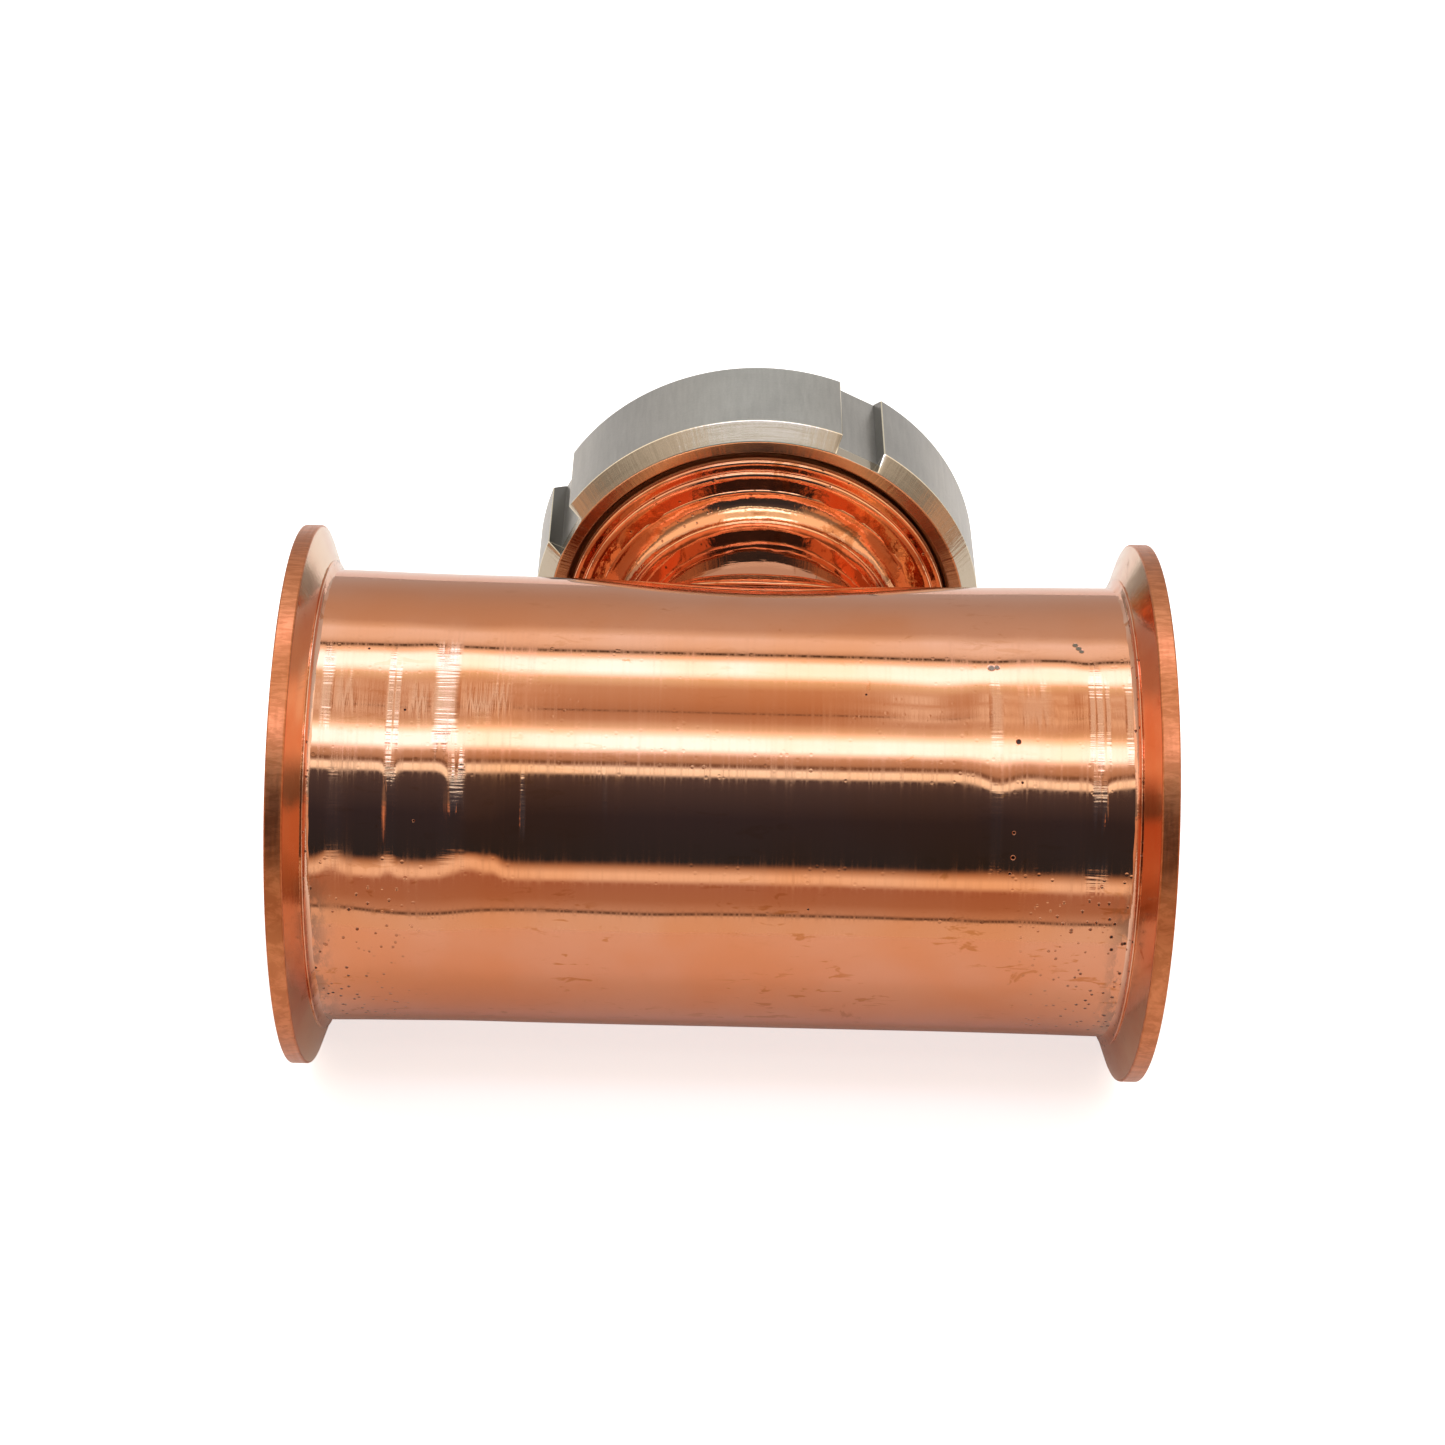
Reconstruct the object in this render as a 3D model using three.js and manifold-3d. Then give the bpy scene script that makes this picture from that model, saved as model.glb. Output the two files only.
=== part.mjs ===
// Copper tee fitting with two clamp ferrules on the run and a sight-glass union on the branch.
//
// Millimetres, +Z up.  The run lies along X and the branch points along +Y.  The origin is at the middle
// of the bounding box in plan and at the height of the surface that the two ferrules lie on.

import * as THREE from 'three';
import { mergeVertices } from 'three/addons/utils/BufferGeometryUtils.js';
import Module from 'manifold-3d';

const wasm = await Module();
wasm.setup();

// ---- Driving dimensions ------------------------------------------------------------------------------

const GAP = 0.3;                    // clearance between pieces that touch
const ROUND_STEPS = 48;             // facets round a turned piece

const runLength = 142;              // face to face
const tubeRadius = 37.8;            // outside of the run tube
const tubeWall = 1.5;

const flangeRadius = 45.5;          // clamp ferrule, 3 inch size
const flangeRim = 2.8;
const flangeBackAngle = THREE.MathUtils.degToRad(20);
const ferruleHubRadius = 39;        // where the back cone ends
const ferruleLip = 1.5;             // stop that the tube's end meets
const grooveRadius = 41.8;          // gasket groove in the clamp face
const grooveWidth = 3.2;
const grooveDepth = 1.2;
const clampBrazeLeg = 1.7;

const branchOffset = 6.2;           // branch axis, from the middle of the run
const neckRadius = 25.5;            // 51 mm branch tube
const neckWall = 1.5;
const neckEnd = 63.2;               // all branch stations are distances from the run's axis
const saddleLeg = 4.2;              // braze fillet at the foot of the neck

const hubFace = 52.8;               // back face of the threaded ferrule
const hubRadius = 33.1;
const hubBreak = 0.8;
const shoulderFace = 53.9;
const ferruleFront = 66.4;
const branchBrazeLeg = 4.2;
const edgeBreak = 0.6;              // chamfer on turned edges

const threadPitch = 25.4 / 6;       // round thread, 70 mm by 1/6 inch
const threadCrest = 34.9;
const threadDepth = 2.1;
const threadPlay = 0.45;            // radial clearance between the two threads
const threadStart = 56;
const stepsPerPitch = 8;

const seatInner = 26.5;             // gasket seat in the front of the threaded ferrule
const seatOuter = 31.5;
const seatDepth = 1.5;
const gasketThickness = 2.2;
const glassRadius = 32;
const glassThickness = 5;
const slipRingThickness = 1;

const nutEnd = 79;
const nutLength = 23.7;
const nutRadius = 41;
const nutChamfer = 2.8;            // at the mouth
const nutEndChamfer = 2.3;
const nutMouthRadius = 36;
const nutReliefRadius = 35.6;
const windowRadius = 27;
const slotWidth = 8.4;
const slotFloor = 38.1;             // distance of a slot's flat floor from the nut's axis
const slotCount = 4;
const firstSlotAngle = THREE.MathUtils.degToRad(26.3);   // from +Z towards +X

// ---- Derived places ----------------------------------------------------------------------------------

const runAxisY = (flangeRadius - nutEnd) / 2;
const runAxisZ = flangeRadius;
const tubeBore = tubeRadius - tubeWall;
const neckBore = neckRadius - neckWall;
const threadMean = threadCrest - threadDepth / 2;
const seatFloor = ferruleFront - seatDepth;
const gasketBack = seatFloor + GAP;
const glassBack = gasketBack + gasketThickness + GAP;
const slipRingBack = glassBack + glassThickness + GAP;
const collarBack = slipRingBack + slipRingThickness + GAP;
const nutFace = nutEnd - nutLength;

// ---- Materials ---------------------------------------------------------------------------------------

const copper = new THREE.MeshStandardMaterial({ color: 0xc9805c, metalness: 1, roughness: 0.18 });
const redCopper = new THREE.MeshStandardMaterial({ color: 0xbf6a3f, metalness: 1, roughness: 0.22 });
const braze = new THREE.MeshStandardMaterial({ color: 0xc48a5e, metalness: 1, roughness: 0.35 });
const stainless = new THREE.MeshStandardMaterial({ color: 0xa3a19c, metalness: 1, roughness: 0.4 });
const glass = new THREE.MeshStandardMaterial({ color: 0xdfeee9, metalness: 0, roughness: 0.05 });
const elastomer = new THREE.MeshStandardMaterial({ color: 0x2b2b2d, metalness: 0, roughness: 0.8 });
const fluoroplastic = new THREE.MeshStandardMaterial({ color: 0xf1f0ea, metalness: 0, roughness: 0.6 });

// ---- Geometry helpers --------------------------------------------------------------------------------

// A ring turned about Y from a closed outline of [radius, station] points in anticlockwise order.
function turned(outline, steps = ROUND_STEPS) {
  const points = [...outline, outline[0]].map(([radius, station]) => new THREE.Vector2(radius, station));
  return new THREE.LatheGeometry(points, steps);
}

// Only positions, with shared vertices merged, so that the surface is one closed body.
function closed(geometry) {
  const copy = geometry.clone();
  copy.deleteAttribute('normal');
  copy.deleteAttribute('uv');
  return mergeVertices(copy, 1e-4);
}

function toSolid(geometry) {
  const merged = closed(geometry);
  const vertProperties = new Float32Array(merged.attributes.position.array);
  const triVerts = new Uint32Array(merged.index.array);
  return new wasm.Manifold(new wasm.Mesh({ numProp: 3, vertProperties, triVerts }));
}

function toGeometry(solid) {
  const mesh = solid.getMesh();
  const geometry = new THREE.BufferGeometry();
  geometry.setAttribute('position', new THREE.BufferAttribute(new Float32Array(mesh.vertProperties), 3));
  geometry.setIndex(new THREE.BufferAttribute(new Uint32Array(mesh.triVerts), 1));
  geometry.computeVertexNormals();
  return geometry;
}

// Moves every vertex of a turned shape by a rule that takes and returns { radius, angle, station }.
function reshape(geometry, rule) {
  const position = geometry.attributes.position;
  for (let i = 0; i < position.count; i += 1) {
    const x = position.getX(i);
    const z = position.getZ(i);
    const vertex = rule({ radius: Math.hypot(x, z), angle: Math.atan2(x, z), station: position.getY(i) });
    position.setXYZ(
      i,
      vertex.radius * Math.sin(vertex.angle),
      vertex.station,
      vertex.radius * Math.cos(vertex.angle),
    );
  }
  geometry.computeVertexNormals();
  return geometry;
}

function named(name, geometry, material) {
  const mesh = new THREE.Mesh(closed(geometry), material);
  mesh.name = name;
  return mesh;
}

// Height of the run's outside above its axis, where a line parallel to the branch meets it.
function saddleHeight(radius, angle) {
  return Math.sqrt(tubeRadius ** 2 - (radius * Math.cos(angle)) ** 2);
}

// Radius of the right-hand round thread at one angle and station.
function threadRadius(angle, station) {
  const turns = station / threadPitch - angle / (2 * Math.PI);
  return threadMean + (threadDepth / 2) * Math.cos(2 * Math.PI * turns);
}

// Outline points at equal steps along a stretch of thread, both ends included.
function threadStations(from, to) {
  const count = Math.round(Math.abs(to - from) / (threadPitch / stepsPerPitch));
  return Array.from({ length: count + 1 }, (_, i) => [threadMean, from + ((to - from) * i) / count]);
}

// A concave quarter of a fillet from [radius, station] to [radius, station], round their inner corner.
function filletCurve(start, corner, end, steps) {
  const curve = new THREE.QuadraticBezierCurve(
    new THREE.Vector2(...start),
    new THREE.Vector2(...corner),
    new THREE.Vector2(...end),
  );
  return curve.getPoints(steps).map((point) => point.toArray());
}

// ---- Run ---------------------------------------------------------------------------------------------

function makeRunTube() {
  const half = runLength / 2 - ferruleLip - GAP;
  const tube = turned([[tubeBore, -half], [tubeRadius, -half], [tubeRadius, half], [tubeBore, half]]);
  tube.rotateZ(-Math.PI / 2);
  const drill = new THREE.CylinderGeometry(neckBore, neckBore, 2 * tubeRadius, ROUND_STEPS);
  drill.translate(branchOffset, tubeRadius, 0);
  const drilled = toSolid(tube).subtract(toSolid(drill));
  return named('run_tube', toGeometry(drilled), copper);
}

// Station along a clamp ferrule's axis where its 20 degree back cone has a given radius.
function backCone(radius) {
  return flangeRim + (flangeRadius - radius) * Math.tan(flangeBackAngle);
}

// The ferrule stands on its clamp face at station 0, and the tube comes into it from above.
function makeClampFerrule(name) {
  const hubEnd = backCone(ferruleHubRadius);
  const groove = [
    [grooveRadius - grooveWidth / 2, 0],
    [grooveRadius - grooveWidth / 4, grooveDepth],
    [grooveRadius + grooveWidth / 4, grooveDepth],
    [grooveRadius + grooveWidth / 2, 0],
  ];
  const geometry = turned([
    [tubeBore, 0],
    ...groove,
    [flangeRadius - edgeBreak / 3, 0],
    [flangeRadius, edgeBreak / 3],
    [flangeRadius, flangeRim],
    [ferruleHubRadius, hubEnd],
    [tubeRadius + GAP, hubEnd],
    [tubeRadius + GAP, ferruleLip],
    [tubeBore, ferruleLip],
  ]);
  return named(name, geometry, redCopper);
}

function makeClampBraze(name) {
  const foot = backCone(ferruleHubRadius) + GAP;
  const inner = tubeRadius + GAP;
  const geometry = turned([
    [inner, foot],
    ...filletCurve([inner + clampBrazeLeg, foot], [inner + 0.2, foot + 0.2], [inner, foot + clampBrazeLeg], 3),
  ]);
  return named(name, geometry, braze);
}

// One end of the run, with its axis along the lathe's Y, turned so that its clamp face looks outwards.
function makeRunEnd(side, direction) {
  const end = new THREE.Group();
  end.add(makeClampFerrule(`${side}_ferrule`));
  end.add(makeClampBraze(`${side}_braze`));
  end.position.x = (direction * runLength) / 2;
  end.rotation.z = (direction * Math.PI) / 2;
  return end;
}

function makeRun() {
  const run = new THREE.Group();
  run.add(makeRunTube());
  run.add(makeRunEnd('left', -1));
  run.add(makeRunEnd('right', 1));
  return run;
}

// ---- Branch ------------------------------------------------------------------------------------------

// The neck's lower end is cut to the saddle shape of the run.
function makeBranchNeck() {
  const geometry = turned([[neckBore, 0], [neckRadius, 0], [neckRadius, neckEnd], [neckBore, neckEnd]]);
  reshape(geometry, (vertex) => {
    const onSaddle = vertex.station < neckEnd / 2;
    const station = onSaddle ? saddleHeight(vertex.radius, vertex.angle) + GAP : vertex.station;
    return { ...vertex, station };
  });
  return named('branch_neck', geometry, copper);
}

// A fillet outline measured from the run's surface, laid over the saddle.
function makeSaddleBraze() {
  const inner = neckRadius + GAP;
  const outer = neckRadius + saddleLeg;
  const geometry = turned([
    [inner, GAP],
    [(inner + outer) / 2, GAP],
    [outer, GAP],
    ...filletCurve([outer, 2 * GAP], [inner + 0.4, GAP + 0.5], [inner, saddleLeg], 4),
  ]);
  reshape(geometry, (vertex) => ({
    ...vertex,
    station: vertex.station + saddleHeight(vertex.radius, vertex.angle),
  }));
  return named('saddle_braze', geometry, braze);
}

function makeBranchBraze() {
  const inner = neckRadius + GAP;
  const top = hubFace - GAP;
  const geometry = turned([
    [inner, top],
    ...filletCurve([inner, hubFace - branchBrazeLeg], [inner + 0.3, top - 0.3], [inner + branchBrazeLeg, top], 4),
  ]);
  return named('branch_braze', geometry, braze);
}

// Threaded ferrule: a socket for the neck at the back, a male thread outside, a gasket seat in front.
function makeBranchFerrule() {
  const stop = neckEnd + GAP;
  const crestAt = (station) => threadCrest - Math.max(0, station - (ferruleFront - threadDepth));
  const geometry = turned([
    [neckRadius + GAP, hubFace],
    [hubRadius - hubBreak, hubFace],
    [hubRadius, hubFace + hubBreak],
    [hubRadius, shoulderFace],
    [threadCrest - edgeBreak, shoulderFace],
    [threadCrest, shoulderFace + edgeBreak],
    ...threadStations(threadStart, ferruleFront),
    [seatOuter, ferruleFront],
    [seatOuter, seatFloor],
    [seatInner, seatFloor],
    [seatInner, ferruleFront],
    [neckBore, ferruleFront],
    [neckBore, stop],
    [neckRadius + GAP, stop],
  ]);
  reshape(geometry, (vertex) => {
    const onThread = Math.abs(vertex.radius - threadMean) < 1e-3;
    const cut = Math.min(threadRadius(vertex.angle, vertex.station), crestAt(vertex.station));
    return { ...vertex, radius: onThread ? cut : vertex.radius };
  });
  return named('branch_ferrule', geometry, redCopper);
}

function makeInnerGasket() {
  const front = gasketBack + gasketThickness;
  const geometry = turned([
    [seatInner + GAP, gasketBack],
    [seatOuter - GAP, gasketBack],
    [seatOuter - GAP, front],
    [seatInner + GAP, front],
  ]);
  return named('inner_gasket', geometry, elastomer);
}

function makeSightGlass() {
  const geometry = new THREE.CylinderGeometry(glassRadius, glassRadius, glassThickness, ROUND_STEPS);
  geometry.translate(0, glassBack + glassThickness / 2, 0);
  return named('sight_glass', geometry, glass);
}

function makeOuterGasket() {
  const inner = windowRadius + GAP;
  const front = slipRingBack + slipRingThickness;
  const geometry = turned([
    [inner, slipRingBack],
    [glassRadius, slipRingBack],
    [glassRadius, front],
    [inner, front],
  ]);
  return named('outer_gasket', geometry, fluoroplastic);
}

// Round nut: threaded mouth towards the run, relief behind the thread, window collar at the far end.
function makeUnionNut() {
  const reliefStart = glassBack;
  const threadMouth = nutFace + 1.5;
  const windowBreak = 1;
  const body = turned([
    [nutMouthRadius, nutFace],
    [nutRadius - nutChamfer, nutFace],
    [nutRadius, nutFace + nutChamfer],
    [nutRadius, nutEnd - nutEndChamfer],
    [nutRadius - nutEndChamfer, nutEnd],
    [windowRadius + windowBreak, nutEnd],
    [windowRadius, nutEnd - windowBreak],
    [windowRadius, collarBack],
    [nutReliefRadius, collarBack],
    [nutReliefRadius, reliefStart],
    ...threadStations(reliefStart - 0.5, threadMouth),
  ]);
  reshape(body, (vertex) => {
    const onThread = Math.abs(vertex.radius - threadMean) < 1e-3;
    const mouth = nutMouthRadius - (vertex.station - nutFace);
    const cut = Math.max(threadRadius(vertex.angle, vertex.station) + threadPlay, mouth);
    return { ...vertex, radius: onThread ? cut : vertex.radius };
  });
  let nut = toSolid(body);
  for (let i = 0; i < slotCount; i += 1) {
    nut = nut.subtract(slotCutter(firstSlotAngle + (i * 2 * Math.PI) / slotCount));
  }
  return named('union_nut', toGeometry(nut), stainless);
}

// A block that clears one spanner slot, its inner face on the slot's flat floor.
function slotCutter(angle) {
  const depth = nutRadius;
  const block = new THREE.BoxGeometry(slotWidth, 2 * nutLength, depth);
  block.translate(0, nutEnd - nutLength / 2, slotFloor + depth / 2);
  block.rotateY(angle);
  return toSolid(block);
}

function makeBranch() {
  const branch = new THREE.Group();
  branch.add(makeBranchNeck());
  branch.add(makeSaddleBraze());
  branch.add(makeBranchBraze());
  branch.add(makeBranchFerrule());
  branch.add(makeInnerGasket());
  branch.add(makeSightGlass());
  branch.add(makeOuterGasket());
  branch.add(makeUnionNut());
  branch.position.x = branchOffset;
  return branch;
}

// ---- Assembly ----------------------------------------------------------------------------------------

const tee = new THREE.Group();
tee.add(makeRun());
tee.add(makeBranch());
tee.position.set(0, runAxisY, runAxisZ);

export default tee;
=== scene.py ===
"""Looks of the copper tee with a sight-glass branch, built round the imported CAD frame.

Outlines are lists of (radius, station) in millimetres, as on a lathe drawing.  The run's stations are
distances along X from its middle.  The branch's stations are distances from the run's axis along Y.
Blender objects are in metres, in the frame of the CAD model.
"""

import math

import bmesh
import bpy
import numpy as np
from mathutils import Matrix, Vector, noise


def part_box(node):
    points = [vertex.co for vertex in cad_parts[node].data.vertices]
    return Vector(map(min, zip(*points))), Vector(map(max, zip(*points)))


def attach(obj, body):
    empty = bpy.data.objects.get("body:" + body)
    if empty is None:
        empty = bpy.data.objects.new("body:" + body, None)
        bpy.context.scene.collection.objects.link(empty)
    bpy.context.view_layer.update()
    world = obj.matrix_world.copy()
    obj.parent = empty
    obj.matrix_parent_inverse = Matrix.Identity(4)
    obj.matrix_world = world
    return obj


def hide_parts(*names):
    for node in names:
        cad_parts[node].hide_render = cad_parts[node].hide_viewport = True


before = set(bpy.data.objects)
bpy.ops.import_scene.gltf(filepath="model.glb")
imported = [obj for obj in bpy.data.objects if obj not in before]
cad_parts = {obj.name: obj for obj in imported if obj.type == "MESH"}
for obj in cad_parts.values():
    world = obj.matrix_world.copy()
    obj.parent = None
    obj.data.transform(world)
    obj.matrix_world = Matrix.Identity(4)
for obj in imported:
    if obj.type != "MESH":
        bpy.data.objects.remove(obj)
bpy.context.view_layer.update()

MM = 0.001
TURN = 2 * math.pi

# ---- Places and sizes read from the frame, in millimetres ----------------------------------------------


def span(node, axis):
    """Lowest and highest coordinate of a CAD node along one axis."""
    low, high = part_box(node)
    return low[axis] / MM, high[axis] / MM


def middle(node, axis):
    """Middle of a CAD node along one axis."""
    low, high = span(node, axis)
    return (low + high) / 2


RUN_Y = middle("left_ferrule", 1)
RUN_Z = middle("left_ferrule", 2)
BRANCH_X = middle("sight_glass", 0)
HALF_RUN = span("right_ferrule", 0)[1]
FLANGE_R = span("left_ferrule", 2)[1] - RUN_Z
TUBE_R = span("run_tube", 2)[1] - RUN_Z
TUBE_END = span("run_tube", 0)[1]
NECK_R = span("branch_neck", 0)[1] - BRANCH_X
NECK_END = span("branch_neck", 1)[1] - RUN_Y
NUT_R = span("union_nut", 2)[1] - RUN_Z
NUT_FACE = span("union_nut", 1)[0] - RUN_Y
NUT_END = span("union_nut", 1)[1] - RUN_Y
HUB_FACE = span("branch_ferrule", 1)[0] - RUN_Y
FERRULE_FRONT = span("branch_ferrule", 1)[1] - RUN_Y
GLASS_R = (span("sight_glass", 0)[1] - span("sight_glass", 0)[0]) / 2
GLASS_BACK = span("sight_glass", 1)[0] - RUN_Y
GLASS_FRONT = span("sight_glass", 1)[1] - RUN_Y

# ---- Sizes of the drawing ------------------------------------------------------------------------------

WALL = 1.5
RIM = 2.8                      # clamp flange
BACK_CONE = math.radians(20)
HUB_TOP_R = 39.0
GROOVE_R = 41.8                # gasket groove
GROOVE_HALF = 1.7
GROOVE_FLOOR_HALF = 0.8
GROOVE_DEPTH = 1.2
JOINT_GAP = 0.1                # between a tube and its socket
NECK_FILLET = 4.2              # leg of the braze at both ends of the neck
THREAD_PITCH = 25.4 / 6
THREAD_CREST = 34.9
THREAD_DEPTH = 2.1
THREAD_PLAY = 0.45
HUB_R = 33.1
SHOULDER = 53.9
SEAT_INNER = 26.5
SEAT_OUTER = 31.5
SEAT_DEPTH = 1.5
NUT_CHAMFER = 2.8
NUT_END_CHAMFER = 2.3
NUT_MOUTH_R = 36.0
NUT_RELIEF_R = 35.6
WINDOW_R = 27.0
SLOT_WIDTH = 8.4
SLOT_FLOOR = 38.1
SLOT_COUNT = 4
FIRST_SLOT = math.radians(26.3)

# ---- Mesh helpers --------------------------------------------------------------------------------------


def rounded(outline, radius, steps=4):
    """A closed outline with every corner rounded, as (radius, station) points."""
    points = [Vector(p) for p in outline]
    result = []
    for i, corner in enumerate(points):
        before, after = points[i - 1], points[(i + 1) % len(points)]
        to_before, to_after = before - corner, after - corner
        reach = min(radius, 0.45 * to_before.length, 0.45 * to_after.length)
        start = corner + to_before.normalized() * reach
        end = corner + to_after.normalized() * reach
        for k in range(steps + 1):
            t = k / steps
            result.append(start * (1 - t) ** 2 + corner * 2 * t * (1 - t) + end * t * t)
    return [tuple(p) for p in result]


def corner_arc(start, corner, end, steps):
    """A rounded corner from start to end, as (radius, station) points."""
    start, corner, end = Vector(start), Vector(corner), Vector(end)
    arc = []
    for k in range(steps + 1):
        t = k / steps
        arc.append(tuple(start * (1 - t) ** 2 + corner * 2 * t * (1 - t) + end * t * t))
    return arc


def supported(outline, longest=4.0, edge=0.12):
    """The same outline with points added near both ends of each straight stretch and along it."""
    result = []
    for i, start in enumerate(outline):
        start, end = Vector(start), Vector(outline[(i + 1) % len(outline)])
        length = (end - start).length
        result.append(start)
        if length < 4 * edge:
            continue
        count = max(1, math.ceil(length / longest))
        inner = [edge / length] + [k / count for k in range(1, count)] + [1 - edge / length]
        result += [start.lerp(end, t) for t in inner]
    return [tuple(p) for p in result]


def lathe_points(outline, angles):
    """Grid of points turned about Y: x, y, z by angle from +Z towards +X, one row for each outline point."""
    outline = np.array(outline, float)
    radius, station = outline[:, 0, None], outline[:, 1, None]
    angles = np.asarray(angles)[None, :]
    return np.stack([radius * np.sin(angles), station + 0 * angles, radius * np.cos(angles)], axis=-1)


def grid_mesh(name, points):
    """A closed ring of quads from a grid of points in millimetres that wraps both ways."""
    rows, columns = points.shape[:2]
    index = np.arange(rows * columns).reshape(rows, columns)
    down, right = np.roll(index, -1, axis=0), np.roll(index, -1, axis=1)
    across = np.roll(down, -1, axis=1)
    faces = np.stack([index, right, across, down], axis=-1).reshape(-1, 4)
    mesh = bpy.data.meshes.new(name)
    mesh.from_pydata((points.reshape(-1, 3) * MM).tolist(), [], faces.tolist())
    clean = bmesh.new()
    clean.from_mesh(mesh)
    bmesh.ops.remove_doubles(clean, verts=clean.verts, dist=1e-7)
    bmesh.ops.recalc_face_normals(clean, faces=clean.faces)
    clean.to_mesh(mesh)
    clean.free()
    mesh.shade_smooth()
    return mesh


def add_object(name, mesh, at=(0, 0, 0), turn=None):
    """Links a mesh to the scene as an object."""
    obj = bpy.data.objects.new(name, mesh)
    bpy.context.scene.collection.objects.link(obj)
    if turn is not None:
        mesh.transform(turn)
    mesh.transform(Matrix.Translation(Vector(at) * MM))
    return obj


def ring_angles(count):
    """Evenly spaced angles round a full turn."""
    return np.arange(count) * TURN / count


def turned(name, outline, steps=256, change=None):
    """A mesh turned about Y from a closed outline, with its points passed through change."""
    points = lathe_points(outline, ring_angles(steps))
    if change is not None:
        points = change(points)
    return grid_mesh(name, points)


def cut(obj, cutter):
    """Cuts one mesh from another and deletes the cutter."""
    modifier = obj.modifiers.new("cut", "BOOLEAN")
    modifier.object = cutter
    modifier.operation = "DIFFERENCE"
    modifier.solver = "EXACT"
    bpy.context.view_layer.update()
    result = bpy.data.meshes.new_from_object(obj.evaluated_get(bpy.context.evaluated_depsgraph_get()))
    obj.modifiers.clear()
    obj.data = result
    bpy.data.objects.remove(cutter)


def wobble(x, y, z, size, seed):
    """Smooth noise in -1..1 at points in millimetres, one bump about every size millimetres."""
    flat = np.stack([np.ravel(x), np.ravel(y), np.ravel(z)], axis=-1) / size + seed * 17.3
    values = [noise.noise(Vector(p)) for p in flat]
    return np.array(values).reshape(np.shape(x))


# ---- Material helpers ----------------------------------------------------------------------------------


def node(tree, kind, settings=None, **inputs):
    """Adds a shader node; inputs are values or sockets by name, with _ for a space, or by number as i0."""
    made = tree.nodes.new(kind)
    for key, value in (settings or {}).items():
        setattr(made, key, value)
    for key, value in inputs.items():
        key = int(key[1:]) if key[0] == "i" and key[1:].isdigit() else key.replace("_", " ")
        if isinstance(value, bpy.types.NodeSocket):
            tree.links.new(value, made.inputs[key])
        else:
            made.inputs[key].default_value = value
    return made


def calc(tree, operation, *values):
    """One sum on sockets or plain numbers."""
    inputs = {f"i{i}": value for i, value in enumerate(values)}
    return node(tree, "ShaderNodeMath", {"operation": operation}, **inputs).outputs[0]


def calc_all(tree, operation, values):
    """The same operation over a whole list, such as the sum or the largest of several sockets."""
    result = values[0]
    for value in values[1:]:
        result = calc(tree, operation, result, value)
    return result


def ramp(tree, factor, stops):
    """A colour ramp from (place, brightness or colour) stops."""
    made = node(tree, "ShaderNodeValToRGB", Fac=factor)
    elements = made.color_ramp.elements
    while len(elements) < len(stops):
        elements.new(0.5)
    for element, (place, value) in zip(elements, stops):
        colour = value if isinstance(value, tuple) else (value, value, value)
        element.position = place
        element.color = (*colour, 1)
    return made.outputs["Color"]


def mixed(tree, factor, first, second):
    """A blend of two colours."""
    made = node(tree, "ShaderNodeMix", {"data_type": "RGBA"}, Factor=factor)
    for index, value in ((6, first), (7, second)):
        if isinstance(value, bpy.types.NodeSocket):
            tree.links.new(value, made.inputs[index])
        else:
            made.inputs[index].default_value = (*value, 1)
    return made.outputs[2]


def ranged(tree, value, start, end, low=0.0, high=1.0):
    """Maps a value smoothly from start..end to low..high."""
    return node(tree, "ShaderNodeMapRange", {"interpolation_type": "SMOOTHSTEP"}, Value=value, From_Min=start,
                From_Max=end, To_Min=low, To_Max=high).outputs["Result"]


def near(tree, value, centre, half, soft):
    """1 where a value lies within half of a centre, falling to 0 over a soft edge."""
    distance = calc(tree, "ABSOLUTE", calc(tree, "SUBTRACT", value, centre))
    return ranged(tree, distance, half + soft, half)


def noise_at(tree, vector, detail=3.0, rough=0.5, distortion=0.0):
    """Noise at a place given by a vector."""
    return node(tree, "ShaderNodeTexNoise", Vector=vector, Scale=1.0, Detail=detail, Roughness=rough,
                Distortion=distortion).outputs["Fac"]


def scaled_noise(tree, scale, detail=3.0, rough=0.5, distortion=0.0):
    """Noise over the object, with its own scale in features per metre along X, Y and Z."""
    coords = node(tree, "ShaderNodeTexCoord").outputs["Object"]
    mapping = node(tree, "ShaderNodeMapping", Vector=coords, Scale=scale).outputs["Vector"]
    return noise_at(tree, mapping, detail, rough, distortion)


def polar(tree, axis):
    """Millimetres along an axis and out from it, and degrees round it.

    Round the run's axis, 0 is the front and 90 the top.  Round the branch's axis, 0 is the top.
    """
    coords = node(tree, "ShaderNodeTexCoord").outputs["Object"]
    place = node(tree, "ShaderNodeSeparateXYZ", Vector=coords).outputs
    up = calc(tree, "SUBTRACT", calc(tree, "DIVIDE", place["Z"], MM), RUN_Z)
    along_x, along_y = (calc(tree, "DIVIDE", place[name], MM) for name in "XY")
    if axis == 0:
        along, across = along_x, calc(tree, "SUBTRACT", RUN_Y, along_y)
        angle = calc(tree, "ARCTAN2", up, across)
    else:
        along, across = calc(tree, "SUBTRACT", along_y, RUN_Y), calc(tree, "SUBTRACT", along_x, BRANCH_X)
        angle = calc(tree, "ARCTAN2", across, up)
    squares = calc(tree, "ADD", calc(tree, "MULTIPLY", up, up), calc(tree, "MULTIPLY", across, across))
    radius = calc(tree, "SQRT", squares)
    return along, calc(tree, "DEGREES", angle), radius, up, across


def new_material(name):
    """A node material, its tree and its shader."""
    material = bpy.data.materials.new(name)
    material.use_nodes = True
    tree = material.node_tree
    return material, tree, tree.nodes["Principled BSDF"]


def connect(tree, shader, **inputs):
    """Links sockets to the shader's inputs, named with _ for a space."""
    for key, value in inputs.items():
        tree.links.new(value, shader.inputs[key.replace("_", " ")])


def along_axis(axis, along, across):
    """Noise scale of marks that run round one axis: fine along it, long across it."""
    return tuple(along if i == axis else across for i in range(3))


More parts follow.
